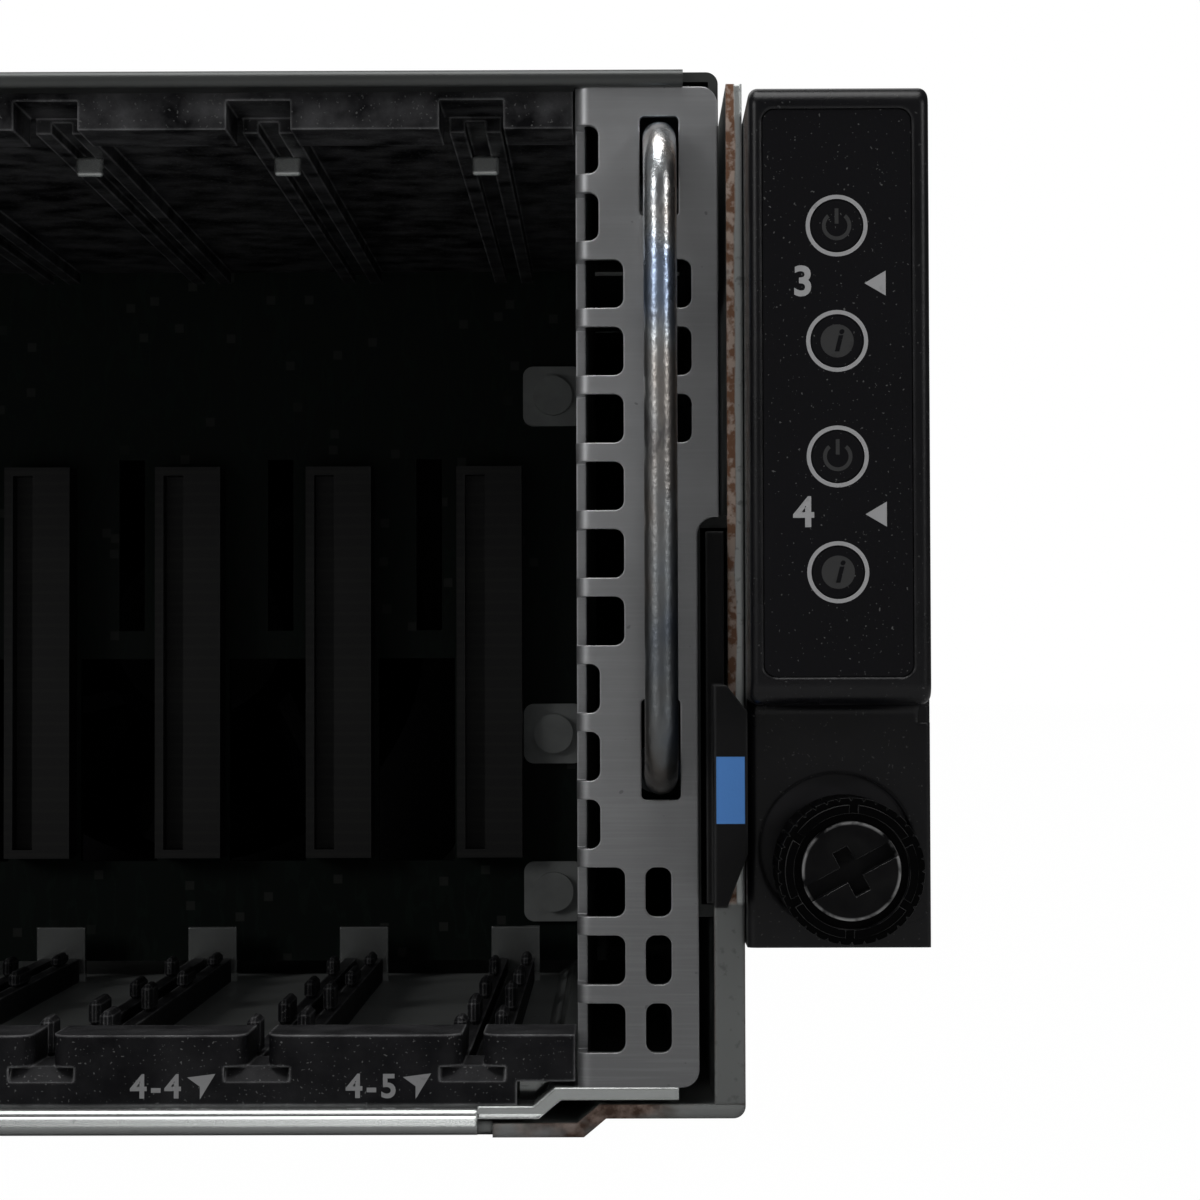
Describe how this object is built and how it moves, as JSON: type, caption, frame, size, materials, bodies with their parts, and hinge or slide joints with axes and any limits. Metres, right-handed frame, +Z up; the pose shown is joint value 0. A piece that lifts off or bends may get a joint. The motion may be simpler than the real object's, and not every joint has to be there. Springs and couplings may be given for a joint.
{
  "type": "multi-node server chassis",
  "caption": "Low rack-mount server enclosure: open front drive bay with perforated ends and wire pulls, black control ears with buttons and thumbscrews, slide-in node sleds and supplies.",
  "frame": {"origin": "middle of the underside", "axes": "+X to the right seen from the front, +Y to the rear, +Z up"},
  "size_m": [0.48, 0.8124, 0.0868],
  "materials": {
    "zinc_sheet": "bright zinc-plated sheet, rusty at cut edges",
    "brushed_sheet": "brushed grey zinc sheet",
    "zinc_wire": "shiny zinc-plated wire",
    "black_plastic": "textured black moulding",
    "overlay": "printed black film",
    "tag_plastic": "dark grey moulding with a blue label",
    "board": "circuit board",
    "gloss_knob": "gloss black knurled knob on a zinc screw",
    "lever_plastic": "blue release tab",
    "supply_case": "plain sheet case"
  },
  "bodies": {
    "chassis": {"base_pan": "zinc_sheet", "side_wall_left": "zinc_sheet", "side_wall_right": "zinc_sheet", "rack_flange_left": "zinc_sheet", "rack_flange_right": "zinc_sheet", "control_housing_left": "black_plastic", "control_housing_right": "black_plastic", "control_overlays": "overlay", "button_boards": "board", "bay_dividers": "zinc_sheet", "bay_shelves": "zinc_sheet", "midplane_board": "board", "power_board": "board", "fan_tray": "zinc_sheet", "fan_frames": "black_plastic", "rear_cover": "zinc_sheet", "tag_channel": "zinc_sheet"},
    "drive_cage": {"cage_floor": "zinc_sheet", "cage_roof": "zinc_sheet", "cage_bracket_left": "brushed_sheet", "cage_bracket_right": "brushed_sheet", "slot_guide_bottom": "black_plastic", "slot_guide_top": "black_plastic", "backplane_board": "board", "backplane_sockets": "black_plastic", "backplane_screws": "zinc_sheet"},
    "wire_handle_left": {"wire_handle_left": "zinc_wire"},
    "wire_handle_right": {"wire_handle_right": "zinc_wire"},
    "info_tag": {"info_tag": "tag_plastic"},
    "power_button_1": {"power_button_1": "overlay"},
    "id_button_1": {"id_button_1": "overlay"},
    "power_button_2": {"power_button_2": "overlay"},
    "id_button_2": {"id_button_2": "overlay"},
    "power_button_3": {"power_button_3": "overlay"},
    "id_button_3": {"id_button_3": "overlay"},
    "power_button_4": {"power_button_4": "overlay"},
    "id_button_4": {"id_button_4": "overlay"},
    "thumbscrew_left": {"thumbscrew_left": "gloss_knob"},
    "thumbscrew_right": {"thumbscrew_right": "gloss_knob"},
    "fan_rotor_1": {"fan_rotor_1": "black_plastic"},
    "fan_rotor_2": {"fan_rotor_2": "black_plastic"},
    "fan_rotor_3": {"fan_rotor_3": "black_plastic"},
    "fan_rotor_4": {"fan_rotor_4": "black_plastic"},
    "fan_cover": {"fan_cover": "zinc_sheet"},
    "node_sled_1": {"sled_tray_1": "zinc_sheet", "sled_board_1": "board"},
    "sled_lever_1": {"sled_lever_1": "lever_plastic"},
    "node_sled_2": {"sled_tray_2": "zinc_sheet", "sled_board_2": "board"},
    "sled_lever_2": {"sled_lever_2": "lever_plastic"},
    "node_sled_3": {"sled_tray_3": "zinc_sheet", "sled_board_3": "board"},
    "sled_lever_3": {"sled_lever_3": "lever_plastic"},
    "node_sled_4": {"sled_tray_4": "zinc_sheet", "sled_board_4": "board"},
    "sled_lever_4": {"sled_lever_4": "lever_plastic"},
    "power_supply_1": {"power_supply_1": "supply_case"},
    "supply_latch_1": {"supply_latch_1": "lever_plastic"},
    "power_supply_2": {"power_supply_2": "supply_case"},
    "supply_latch_2": {"supply_latch_2": "lever_plastic"}
  },
  "joints": [
    {"name": "drive_cage_slide", "type": "slide", "parent": "chassis", "child": "drive_cage", "axis": [0, -1, 0], "range_m": [0, 0.11]},
    {"name": "wire_handle_left_slide", "type": "slide", "parent": "drive_cage", "child": "wire_handle_left", "axis": [0, -1, 0], "range_m": [0, 0.025]},
    {"name": "wire_handle_right_slide", "type": "slide", "parent": "drive_cage", "child": "wire_handle_right", "axis": [0, -1, 0], "range_m": [0, 0.025]},
    {"name": "info_tag_slide", "type": "slide", "parent": "chassis", "child": "info_tag", "axis": [0, -1, 0], "range_m": [0, 0.055]},
    {"name": "power_button_1_press", "type": "slide", "parent": "chassis", "child": "power_button_1", "axis": [0, 1, 0], "range_m": [0, 0.0005], "stiffness_N_per_m": 400},
    {"name": "id_button_1_press", "type": "slide", "parent": "chassis", "child": "id_button_1", "axis": [0, 1, 0], "range_m": [0, 0.0005], "stiffness_N_per_m": 400},
    {"name": "power_button_2_press", "type": "slide", "parent": "chassis", "child": "power_button_2", "axis": [0, 1, 0], "range_m": [0, 0.0005], "stiffness_N_per_m": 400},
    {"name": "id_button_2_press", "type": "slide", "parent": "chassis", "child": "id_button_2", "axis": [0, 1, 0], "range_m": [0, 0.0005], "stiffness_N_per_m": 400},
    {"name": "power_button_3_press", "type": "slide", "parent": "chassis", "child": "power_button_3", "axis": [0, 1, 0], "range_m": [0, 0.0005], "stiffness_N_per_m": 400},
    {"name": "id_button_3_press", "type": "slide", "parent": "chassis", "child": "id_button_3", "axis": [0, 1, 0], "range_m": [0, 0.0005], "stiffness_N_per_m": 400},
    {"name": "power_button_4_press", "type": "slide", "parent": "chassis", "child": "power_button_4", "axis": [0, 1, 0], "range_m": [0, 0.0005], "stiffness_N_per_m": 400},
    {"name": "id_button_4_press", "type": "slide", "parent": "chassis", "child": "id_button_4", "axis": [0, 1, 0], "range_m": [0, 0.0005], "stiffness_N_per_m": 400},
    {"name": "thumbscrew_left_turn", "type": "hinge", "parent": "chassis", "child": "thumbscrew_left", "pos_m": [-0.2318, -0.3938, 0.0221], "axis": [0, -1, 0], "continuous": true},
    {"name": "thumbscrew_right_turn", "type": "hinge", "parent": "chassis", "child": "thumbscrew_right", "pos_m": [0.2318, -0.3938, 0.0221], "axis": [0, -1, 0], "continuous": true},
    {"name": "fan_rotor_1_spin", "type": "hinge", "parent": "chassis", "child": "fan_rotor_1", "pos_m": [-0.162, -0.2438, 0.0434], "axis": [0, 1, 0], "continuous": true},
    {"name": "fan_rotor_2_spin", "type": "hinge", "parent": "chassis", "child": "fan_rotor_2", "pos_m": [-0.054, -0.2438, 0.0434], "axis": [0, 1, 0], "continuous": true},
    {"name": "fan_rotor_3_spin", "type": "hinge", "parent": "chassis", "child": "fan_rotor_3", "pos_m": [0.054, -0.2438, 0.0434], "axis": [0, 1, 0], "continuous": true},
    {"name": "fan_rotor_4_spin", "type": "hinge", "parent": "chassis", "child": "fan_rotor_4", "pos_m": [0.162, -0.2438, 0.0434], "axis": [0, 1, 0], "continuous": true},
    {"name": "fan_cover_lift", "type": "slide", "parent": "chassis", "child": "fan_cover", "axis": [0, 0, 1], "range_m": [0, 0.06]},
    {"name": "node_sled_1_slide", "type": "slide", "parent": "chassis", "child": "node_sled_1", "axis": [0, 1, 0], "range_m": [0, 0.56]},
    {"name": "sled_lever_1_swing", "type": "hinge", "parent": "node_sled_1", "child": "sled_lever_1", "pos_m": [-0.171, 0.3876, 0.0471], "axis": [0, 0, -1], "range_deg": [0, 60]},
    {"name": "node_sled_2_slide", "type": "slide", "parent": "chassis", "child": "node_sled_2", "axis": [0, 1, 0], "range_m": [0, 0.56]},
    {"name": "sled_lever_2_swing", "type": "hinge", "parent": "node_sled_2", "child": "sled_lever_2", "pos_m": [-0.171, 0.3876, 0.006], "axis": [0, 0, -1], "range_deg": [0, 60]},
    {"name": "node_sled_3_slide", "type": "slide", "parent": "chassis", "child": "node_sled_3", "axis": [0, 1, 0], "range_m": [0, 0.56]},
    {"name": "sled_lever_3_swing", "type": "hinge", "parent": "node_sled_3", "child": "sled_lever_3", "pos_m": [0.0966, 0.3876, 0.0471], "axis": [0, 0, -1], "range_deg": [0, 60]},
    {"name": "node_sled_4_slide", "type": "slide", "parent": "chassis", "child": "node_sled_4", "axis": [0, 1, 0], "range_m": [0, 0.56]},
    {"name": "sled_lever_4_swing", "type": "hinge", "parent": "node_sled_4", "child": "sled_lever_4", "pos_m": [0.0966, 0.3876, 0.006], "axis": [0, 0, -1], "range_deg": [0, 60]},
    {"name": "power_supply_1_slide", "type": "slide", "parent": "chassis", "child": "power_supply_1", "axis": [0, 1, 0], "range_m": [0, 0.2]},
    {"name": "supply_latch_1_press", "type": "hinge", "parent": "power_supply_1", "child": "supply_latch_1", "pos_m": [0.0396, 0.3876, 0.0562], "axis": [0, 0, 1], "range_deg": [0, 15], "stiffness_Nm_per_rad": 0.3},
    {"name": "power_supply_2_slide", "type": "slide", "parent": "chassis", "child": "power_supply_2", "axis": [0, 1, 0], "range_m": [0, 0.2]},
    {"name": "supply_latch_2_press", "type": "hinge", "parent": "power_supply_2", "child": "supply_latch_2", "pos_m": [0.0396, 0.3876, 0.0136], "axis": [0, 0, 1], "range_deg": [0, 15], "stiffness_Nm_per_rad": 0.3}
  ]
}
